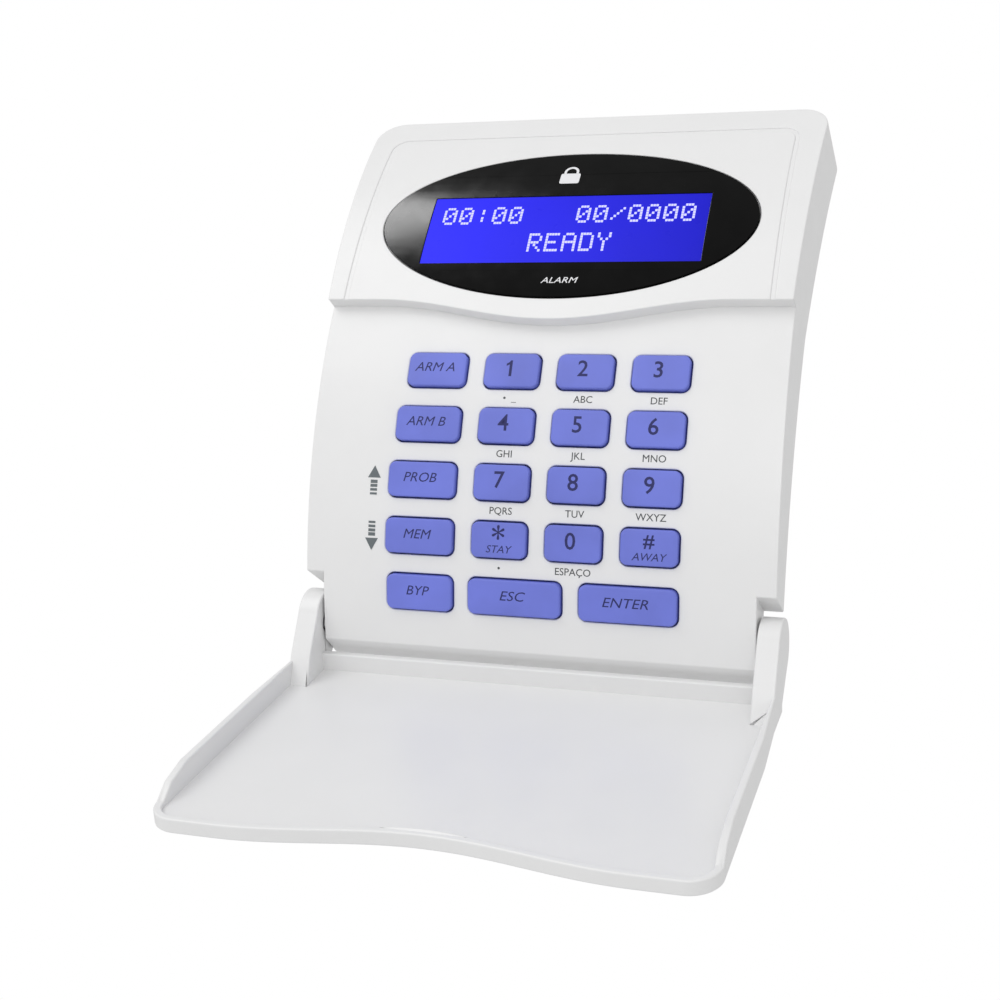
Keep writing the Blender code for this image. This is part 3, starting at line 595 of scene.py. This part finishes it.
def shell_outline(inset):
    """The case from the front. The one without an inset reaches lower, for the underside to be cut."""
    r_top, r_bottom = TOP_CORNER_R - inset, max(BOTTOM_CORNER_R - inset, LEAST_CORNER_R)
    foot = NOTCH_HALF_WIDTH - inset
    bottom = BOTTOM + inset if inset else BOTTOM - UNDERSIDE_DROP
    right = corner(foot - r_bottom, bottom + r_bottom, r_bottom, -90, 0, 5)
    right += [(foot, NOTCH_TOP + inset), (HALF_WIDTH - inset, NOTCH_TOP + inset)]
    right += [(HALF_WIDTH - inset, STEP_Z)]
    right += corner(TOP_HALF_WIDTH - inset - r_top, TOP - inset - r_top, r_top, 0, 90, 12)
    return mirrored(right)


def arch_profile(radius, low, high, back, axis_z=ARCH_Z, axis_depth=ARCH_DEPTH, clear=()):
    """Side view of everything under an arch: depth and height.

    Its flats meet away from the heights in clear.
    """
    a0, a1 = math.asin((low - axis_z) / radius), math.asin((high - axis_z) / radius)
    steps = round((a1 - a0) / ARC_STEP)
    angles = [a0 + (a1 - a0) * i / steps for i in range(steps + 1)]
    margin = FLAT_MARGIN * (a1 - a0) / steps
    for edge in (math.asin((z - axis_z) / radius) for z in clear):
        near = min(range(1, steps), key=lambda i: abs(angles[i] - edge))
        if abs(angles[near] - edge) < margin:
            angles[near] = edge + math.copysign(margin, angles[near] - edge)
    arc = [(axis_depth + radius * math.cos(a), axis_z + radius * math.sin(a)) for a in angles]
    return arc + [(back, high), (back, low)]


def ellipse(half_x, half_z, centre_z, steps=128):
    angles = [2 * math.pi * i / steps for i in range(steps)]
    return [(half_x * math.cos(a), centre_z + half_z * math.sin(a)) for a in angles]


def door_outline():
    """The door from its outer face. It ends past the ears, which the profile cuts round."""
    right = [(EAR_OUTER_X, -0.025), (EAR_OUTER_X, 0.0), (DOOR_HALF_WIDTH - 0.0002, DOOR_WIDE_Y)]
    x, y = DOOR_HALF_WIDTH - DOOR_CORNER_R, DOOR_FREE_Y - DOOR_CORNER_R
    right += corner(x, y, DOOR_CORNER_R, 0, 90, 12)
    return mirrored(right + free_edge(DOOR_FREE_Y, 28))


# ---------------------------------------------------------------- case

def key_plan():
    """Every key: name, row, centre x, width."""
    keys = []
    digits = (("1", "2", "3"), ("4", "5", "6"), ("7", "8", "9"), ("star", "0", "hash"))
    for row, names in enumerate(digits):
        for name, x in zip(names, DIGIT_COLUMNS):
            keys.append(("key_" + name, row, x, KEY_WIDTH))
    for row, name in enumerate(("arm_a", "arm_b", "problem", "memory", "bypass")):
        left = FUNCTION_LEFT + FUNCTION_BOW * (row - WIDEST_ROW) ** 2
        keys.append(("key_" + name, row, (left + FUNCTION_RIGHT) / 2, FUNCTION_RIGHT - left))
    for name, x, width in WIDE_KEYS:
        keys.append((name, len(ROW_ANGLES) - 1, x, width))
    return keys


def arch_block(name, radius, low=-PAST_SIDE, high=PAST_SIDE, back=-PAST_FRONT,
               axis_z=ARCH_Z, axis_depth=ARCH_DEPTH, clear=()):
    """Everything under an arch, wider than the case."""
    profile = arch_profile(radius, low, high, back, axis_z, axis_depth, clear)
    return prism(name, profile, -PAST_SIDE, PAST_SIDE, SIDE)


def edge_heights():
    """Heights of the edges on the upper face, and of those on the key area."""
    upper = [STEP_Z, STEP_Z - BULGE, LENS_Z - LENS_HALF_Z - GAP, LENS_Z + LENS_HALF_Z + GAP, TOP,
             GROOVE_TOP - GROOVE_WIDTH / 2, GROOVE_TOP + GROOVE_WIDTH / 2]
    lower = [STEP_Z, STEP_Z - BULGE, NOTCH_TOP, BOTTOM]
    for angle in ROW_ANGLES:
        half = (KEY_HEIGHT / 2 + KEY_GAP) * math.cos(angle)
        lower += [ARCH_Z + KEY_R * math.sin(angle) - half, ARCH_Z + KEY_R * math.sin(angle) + half]
    return upper, lower


def make_shell():
    """Front shell: raised upper face with its groove, key area, walls and every hole."""
    upper, lower = edge_heights()
    whole = arch_profile(FACE_R, BOTTOM - 0.004, TOP + 0.002, -0.001, clear=upper)
    shell = prism("case_front", whole, -0.07, 0.07, SIDE)
    combine(shell, [prism("outline", shell_outline(0), -0.01, 0.05, FRONT)], "INTERSECT")
    combine(shell, [make_recess(lower), make_underside(), make_hollow()])
    combine(shell, [arch_block("rim", RIM_R, -0.090, 0.090, -0.080, RIM_Z, RIM_APEX - RIM_R)])

    pocket = prism("pocket", ellipse(LENS_HALF_X + GAP, LENS_HALF_Z + GAP, LENS_Z), 0.0, PAST_FRONT, FRONT)
    combine(pocket, [arch_block("pocket_floor", LENS_R - LENS_THICK - GAP)])
    opening = box("opening", (*DISPLAY_OPENING, 0.020), (0, 0, 0), on_arch(DISPLAY_ANGLE, FACE_R))
    combine(shell, [pocket, opening, make_groove(), make_key_holes()])
    for side in (-1, 1):
        combine(shell, [cylinder("bearing", PIN_BORE_R, *SHELL_BORE_X, hinge_axis(side))])
    for x, z in CASE_SCREWS:
        spot = FRONT @ Matrix.Translation((x, z, 0))
        combine(shell, [cylinder("boss", CASE_BOSS_R, *CASE_BOSS_DEPTHS, spot)], "UNION")
        combine(shell, [cylinder("boss_bore", CASE_BORE_R, *CASE_BORE_DEPTHS, spot)])
    return follow_arch(soften(shell, SHELL_ROUND))


def make_recess(edges, steps=40):
    """Cutter for what lies in front of the key area, below the step."""
    side, bottom = 0.065, -0.075
    across = [-BULGE_HALF + 2 * BULGE_HALF * i / steps for i in range(steps + 1)]
    outline = [(-side, STEP_Z)] + [(x, step_edge(x)) for x in across]
    outline += [(side, STEP_Z), (side, bottom), (-side, bottom)]
    recess = prism("recess", outline, 0.0, PAST_FRONT, FRONT)
    return combine(recess, [arch_block("recess_floor", KEY_R, clear=edges)])


def make_underside():
    """Cutter that slopes the underside up to the front."""
    reach = 0.030
    front, back = UNDERSIDE_FRONT + reach, UNDERSIDE_FRONT - reach
    below = [(front, BOTTOM + reach * UNDERSIDE_SLOPE), (back, BOTTOM - reach * UNDERSIDE_SLOPE),
             (back, BOTTOM - 0.020), (front, BOTTOM - 0.020)]
    return prism("below", below, -PAST_SIDE, PAST_SIDE, SIDE)


def make_hollow():
    """Cutter for the inside of the shell."""
    hollow = prism("hollow", shell_outline(WALL), -0.02, PAST_FRONT, FRONT)
    return combine(hollow, [arch_block("hollow_face", KEY_R - WALL)], "INTERSECT")


def make_key_holes():
    """Cutters for the keys, as one object."""
    holes = []
    for name, row, x, width in key_plan():
        hole = rounded_rect(width / 2 + KEY_GAP, KEY_HEIGHT / 2 + KEY_GAP, KEY_CORNER_R + KEY_GAP)
        holes.append(prism(name + "_hole", hole, -0.006, 0.004, on_arch(ROW_ANGLES[row], KEY_R, x)))
    return join("key_holes", holes)


def make_groove():
    """Cutter for the shallow frame groove on the upper face, open at the step."""
    half = GROOVE_WIDTH / 2
    loops = []
    for grow in (half, -half):
        radius = GROOVE_CORNER_R + grow
        right = [(GROOVE_X + grow, -0.02 - grow)]
        right += corner(GROOVE_X + grow - radius, GROOVE_TOP + grow - radius, radius, 0, 90, 8)
        loops.append(mirrored(right))
    ring = prism("groove", loops[0], 0.0, PAST_FRONT, FRONT)
    combine(ring, [prism("groove_inner", loops[1], -0.01, 0.07, FRONT)])
    return combine(ring, [arch_block("groove_floor", FACE_R - GROOVE_DEPTH)])


# ---------------------------------------------------------------- door

def door_profile():
    """The door from the side, in its own frame: ear with a round head, lip, and the fall to the free edge."""
    head_y, head_z = in_door(EAR_Z, EAR_DEPTH)
    head = corner(head_y, head_z, EAR_R, -EAR_ROUND_START, -EAR_ROUND_END, 32)
    lip = [(PAST_SIDE, PAST_PLATE), (PAST_SIDE, -FREE_LIP)] + LIP_FALL
    heel = DOOR_HINGE_Y - 0.00004          # soften() merges it with the rim
    return lip + EAR_FRONT[2:] + head + [(heel, 0.0004), (heel, PAST_PLATE)]


def make_door():
    """Door: a plate with side lips, a low free lip, a hinge rim and ears, its edges rounded."""
    frame = door_frame()
    across = frame @ Matrix(((0, 0, 1, 0), (1, 0, 0, 0), (0, 1, 0, 0), (0, 0, 0, 1)))    # y, z, x
    door = prism("door_panel", door_outline(), -0.020, DOOR_THICK, frame)
    combine(door, [prism("profile", door_profile(), -PAST_SIDE, PAST_SIDE, across)], "INTERSECT")

    rim_front = DOOR_HINGE_Y + HINGE_RIM_THICK
    between = [(-PAST_DOOR, PAST_PLATE), (DOOR_HINGE_Y, PAST_PLATE), (DOOR_HINGE_Y, -HINGE_RIM)]
    between += [(rim_front, -HINGE_RIM), (rim_front, 0), (TRAY_HINGE_Y, 0)]
    between += [(TRAY_HINGE_Y, -PAST_DOOR), (-PAST_DOOR, -PAST_DOOR)]
    combine(door, [prism("between_ears", between, -EAR_INNER_X, EAR_INNER_X, across)])
    combine(door, [make_tray(frame, across)])
    for side in (-1, 1):
        combine(door, [cylinder("bore", PIN_BORE_R, *DOOR_BORE_X, hinge_axis(side))])
    return soften(door, DOOR_ROUND)


def make_tray(frame, across):
    """Cutter for what lies between the door's lips, clear of the ears."""
    edge = DOOR_FREE_Y - FREE_WALL
    right = [(LIP_INNER_X, -0.003)]
    right += corner(LIP_INNER_X - TRAY_CORNER_R, edge - TRAY_CORNER_R, TRAY_CORNER_R, 0, 90, 10)
    tray = prism("tray", mirrored(right + free_edge(edge, 14)), -PAST_DOOR, 0, frame)
    below = -0.040
    ear = [(-PAST_DOOR, PAST_PLATE), (EAR_FRONT[0][0], PAST_PLATE)] + EAR_FRONT
    ear += [(EAR_FRONT[-1][0], below), (-PAST_DOOR, below)]
    for side in (-1, 1):
        x0, x1 = sorted((side * (EAR_INNER_X - EAR_OVERLAP), side * PAST_SIDE))
        combine(tray, [prism("ear_block", ear, x0, x1, across)])
    return tray


# ---------------------------------------------------------------- lens and display

def make_lens():
    """Oval lens with an opening for the display's window."""
    lens = prism("lens_oval", ellipse(LENS_HALF_X, LENS_HALF_Z, LENS_Z), 0.0, PAST_FRONT, FRONT)
    combine(lens, [arch_block("lens_front", LENS_R)], "INTERSECT")
    combine(lens, [arch_block("lens_back", LENS_R - LENS_THICK)])
    combine(lens, [box("lens_window", (*SCREEN, 0.010), (0, 0, 0), on_arch(DISPLAY_ANGLE, FACE_R))])
    return follow_arch(soften(lens, LENS_ROUND, segments=2))


def make_screen():
    """Window pane that shows the display's picture, curved with the lens."""
    outline = rounded_rect(SCREEN[0] / 2 - SCREEN_GAP, SCREEN[1] / 2 - SCREEN_GAP, SCREEN_CORNER_R, 2)
    pane = prism("display_screen", outline, -0.002, 0.003, on_arch(DISPLAY_ANGLE, FACE_R))
    combine(pane, [arch_block("screen_front", SCREEN_R)], "INTERSECT")
    combine(pane, [arch_block("screen_back", SCREEN_R - SCREEN_THICK)])
    return smooth(pane)


# Rows of five dots, each row as the bits of a number
DOT_FONT = {
    "0": (14, 17, 19, 21, 25, 17, 14), ":": (0, 4, 4, 0, 4, 4, 0), "/": (0, 1, 2, 4, 8, 16, 0),
    "R": (30, 17, 17, 30, 20, 18, 17), "E": (31, 16, 16, 30, 16, 16, 31), "A": (14, 17, 17, 31, 17, 17, 17),
    "D": (30, 17, 17, 17, 17, 17, 30), "Y": (17, 17, 10, 4, 4, 4, 4), " ": (0,) * 7,
}


def make_dots(lines):
    """The display's characters as small raised squares, five by seven to a character."""
    bm = bmesh.new()
    step_x, step_y = CHARACTER_SIZE[0] / 5, CHARACTER_SIZE[1] / 7
    size = Matrix.Diagonal((step_x * DOT_FILL, step_y * DOT_FILL, PRINT, 1))
    for row, line in enumerate(lines):
        for column, letter in enumerate(line):
            cx = (column - (len(line) - 1) / 2) * CHARACTER_PITCH
            cy = (0.5 - row) * LINE_PITCH
            for j, bits in enumerate(DOT_FONT[letter]):
                for i in range(5):
                    if bits >> (4 - i) & 1:
                        x, y = cx + (i - 2) * step_x, cy + (3 - j) * step_y
                        place = on_arch(DISPLAY_ANGLE + y / SCREEN_R, SCREEN_R + PRINT / 2, x)
                        bmesh.ops.create_cube(bm, size=1, matrix=place @ size)
    return add_mesh("display_text", bm, Matrix.Identity(4))


def make_symbol():
    """Small padlock mark above the display."""
    centre = on_arch(arch_angle(SYMBOL_Z, LENS_R), LENS_R, SYMBOL_X)
    outline = rounded_rect(0.0024, 0.0017, 0.0005)
    body = prism("padlock", outline, 0, PRINT, centre @ Matrix.Translation((0, -0.0012, 0)))
    outer, inner, rise, foot = 0.0018, 0.0012, 0.0010, 0.0004
    arch = corner(0, rise, outer, 0, 180, 16) + [(-outer, foot), (-inner, foot)]
    arch += corner(0, rise, inner, 180, 0, 16) + [(inner, foot)]
    shackle = prism("shackle", [(outer, foot)] + arch, 0, PRINT, centre)
    return join("padlock_mark", [body, shackle])


# ---------------------------------------------------------------- keys and print

def make_key(name, row, x, width):
    """Key cap with a rounded rim, a slightly crowned top and the flange behind the face."""
    half_x, half_y = width / 2, KEY_HEIGHT / 2
    skin = WALL + GAP
    rings = []
    for inset, z in ((KEY_FLANGE, -skin - KEY_FLANGE_THICK), (KEY_FLANGE, -skin), (0, -skin)):
        rings.append((rounded_rect(half_x + inset, half_y + inset, KEY_CORNER_R + inset), z))
    for i in range(6):
        a = math.radians(90 * i / 5)
        inset = KEY_ROUND * (1 - math.cos(a))
        outline = rounded_rect(half_x - inset, half_y - inset, KEY_CORNER_R - inset)
        rings.append((outline, KEY_PROUD - KEY_CROWN - KEY_ROUND * (1 - math.sin(a))))
    for inset, z in ((0.0011, KEY_PROUD - KEY_CROWN / 3), (0.0020, KEY_PROUD)):
        rings.append((rounded_rect(half_x - inset, half_y - inset, KEY_CROWN_CORNER_R), z))
    return smooth(loft(name + "_cap", rings, on_arch(ROW_ANGLES[row], KEY_R, x)), 50)


def text(name, words, size, frame, slant=0.0, stretch=1.0, bold=0.0):
    """Printed words centred on a frame, as a thin mesh. bold widens the strokes."""
    data = bpy.data.curves.new(name, "FONT")
    data.body = words
    data.size = size
    data.shear = slant
    data.align_x = "CENTER"
    data.align_y = "CENTER"
    data.extrude = PRINT / 2
    data.offset = bold
    data.resolution_u = 3
    font = bpy.data.objects.new(name, data)
    bpy.context.scene.collection.objects.link(font)
    bpy.context.view_layer.update()
    mesh = bpy.data.meshes.new_from_object(font.evaluated_get(bpy.context.evaluated_depsgraph_get()))
    bpy.data.objects.remove(font, do_unlink=True)
    mesh.name = name
    mesh.transform(frame @ Matrix.Diagonal((stretch, 1, 1, 1)))
    obj = bpy.data.objects.new(name, mesh)
    bpy.context.scene.collection.objects.link(obj)
    return obj


KEY_WORDS = {
    "arm_a": "ARM A", "arm_b": "ARM B", "problem": "PROB", "memory": "MEM", "bypass": "BYP",
    "escape": "ESC", "enter": "ENTER",
}
# Sign, its size, how far it stands above the key's middle, and the word below it
SIGN_KEYS = {"star": ("*", 0.0072, 0.0003, "STAY"), "hash": ("#", 0.0042, 0.0014, "AWAY")}
UNDER_WORDS = {
    "1": "•  _", "2": "ABC", "3": "DEF", "4": "GHI", "5": "JKL", "6": "MNO", "7": "PQRS", "8": "TUV",
    "9": "WXYZ", "star": "•", "0": "ESPAÇO",
}

# Outline of the digit one, in its height
ONE_SIZE = 0.0038
ONE = ((0.16, -0.5), (0.16, 0.5), (0.05, 0.5), (-0.04, 0.38), (-0.20, 0.29), (-0.20, 0.15),
       (-0.01, 0.25), (-0.01, -0.5))


def key_legend(name, row, x):
    """The printing on one key's top."""
    what = name[len("key_"):]
    legend = name + "_legend"
    top = on_arch(ROW_ANGLES[row], KEY_R + KEY_PROUD, x)
    if what in SIGN_KEYS:
        sign, size, rise, word = SIGN_KEYS[what]
        first = text(name + "_sign", sign, size, top @ Matrix.Translation((0, rise, 0)), bold=SIGN_BOLD)
        below = top @ Matrix.Translation(SECOND_SHIFT)
        second = text(name + "_second", word, SECOND_SIZE, below, SLANT, 1.05)
        return join(legend, [first, second])
    place = top @ Matrix.Translation(LEGEND_SHIFT)
    if what == "1":
        return prism(legend, [(px * ONE_SIZE, py * ONE_SIZE) for px, py in ONE], -PRINT / 2, PRINT / 2, place)
    if what.isdigit():
        return text(legend, what, DIGIT_SIZE, place, bold=DIGIT_BOLD)
    stretch = 1.15 if what in ("escape", "enter") else 1.05
    return text(legend, KEY_WORDS[what], WORD_SIZE, place, SLANT, stretch)


def under_legend(name, row, x):
    """The small letters on the case below a key."""
    words = UNDER_WORDS[name[len("key_"):]]
    angle = ROW_ANGLES[row] - (KEY_HEIGHT / 2 + SMALL_BELOW) / KEY_R
    return text(name + "_letters", words, SMALL_SIZE, on_arch(angle, KEY_R + PRINT / 2, x))


def make_arrow(name, z, way):
    """Grey arrow beside the keys, its tail in bars that thin out. way is 1 for up and -1 for down."""
    frame = on_arch(arch_angle(z, KEY_R), KEY_R, ARROW_X) @ Matrix.Diagonal((1, way, 1, 1))
    parts = [prism("head", [(0.0016, 0.0008), (0, 0.0036), (-0.0016, 0.0008)], 0, PRINT, frame)]
    half, pitch = 0.00085, 0.00098
    for i in range(4):
        y = 0.0003 - pitch * i
        bar = 0.00078 - 0.00010 * i
        outline = [(-half, y), (half, y), (half, y - bar), (-half, y - bar)]
        parts.append(prism("bar", outline, 0, PRINT, frame))
    return join(name, parts)


def make_lens_word():
    place = on_arch(arch_angle(LENS_WORD_Z, LENS_R), LENS_R + PRINT / 2, LENS_WORD_X)
    return text("lens_word", "ALARM", LENS_WORD_SIZE, place, SLANT, 1.2)


# ---------------------------------------------------------------- assembly

def show(obj, body, material, slot, *nodes):
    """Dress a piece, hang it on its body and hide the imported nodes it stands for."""
    dress(obj, MATERIALS[material])
    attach(obj, body)
    if nodes:
        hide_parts(*nodes)


def dress_packed_nodes(frame):
    slots = {entry["node"]: entry["material_slot"] for entry in frame["record"]["subparts"]}
    for name, obj in frame["nodes"].items():
        dress(obj, MATERIALS[slots[name]])
        smooth(obj)


def make_model():
    show(make_shell(), "case", "white_shell", "white_shell", "front_shell")
    show(make_door(), "door", "white_door", "white_door", "door")
    lens = make_lens()
    show(lens, "case", "lens_black", "lens_black", "display_lens")
    light_lens(lens)
    show(make_screen(), "case", "display_blue", "display_blue")
    show(make_dots(["00:00   00/0000", " READY"]), "case", "display_dots", "display_blue")
    show(make_symbol(), "case", "ink_white", "lens_black")
    show(make_lens_word(), "case", "ink_white", "lens_black")
    for name, row, x, width in key_plan():
        body = "button_" + name[len("key_"):]
        show(make_key(name, row, x, width), body, "key_blue", "key_blue", name)
        show(key_legend(name, row, x), body, "ink_navy", "key_blue")
        if name[len("key_"):] in UNDER_WORDS:
            show(under_legend(name, row, x), "case", "ink_grey", "white_shell")
    for name, z, way in ARROWS:
        show(make_arrow(name, z, way), "case", "ink_arrow", "white_shell")


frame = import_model()
make_camera()
MATERIALS = make_materials()
make_studio()
dress_packed_nodes(frame)
make_model()
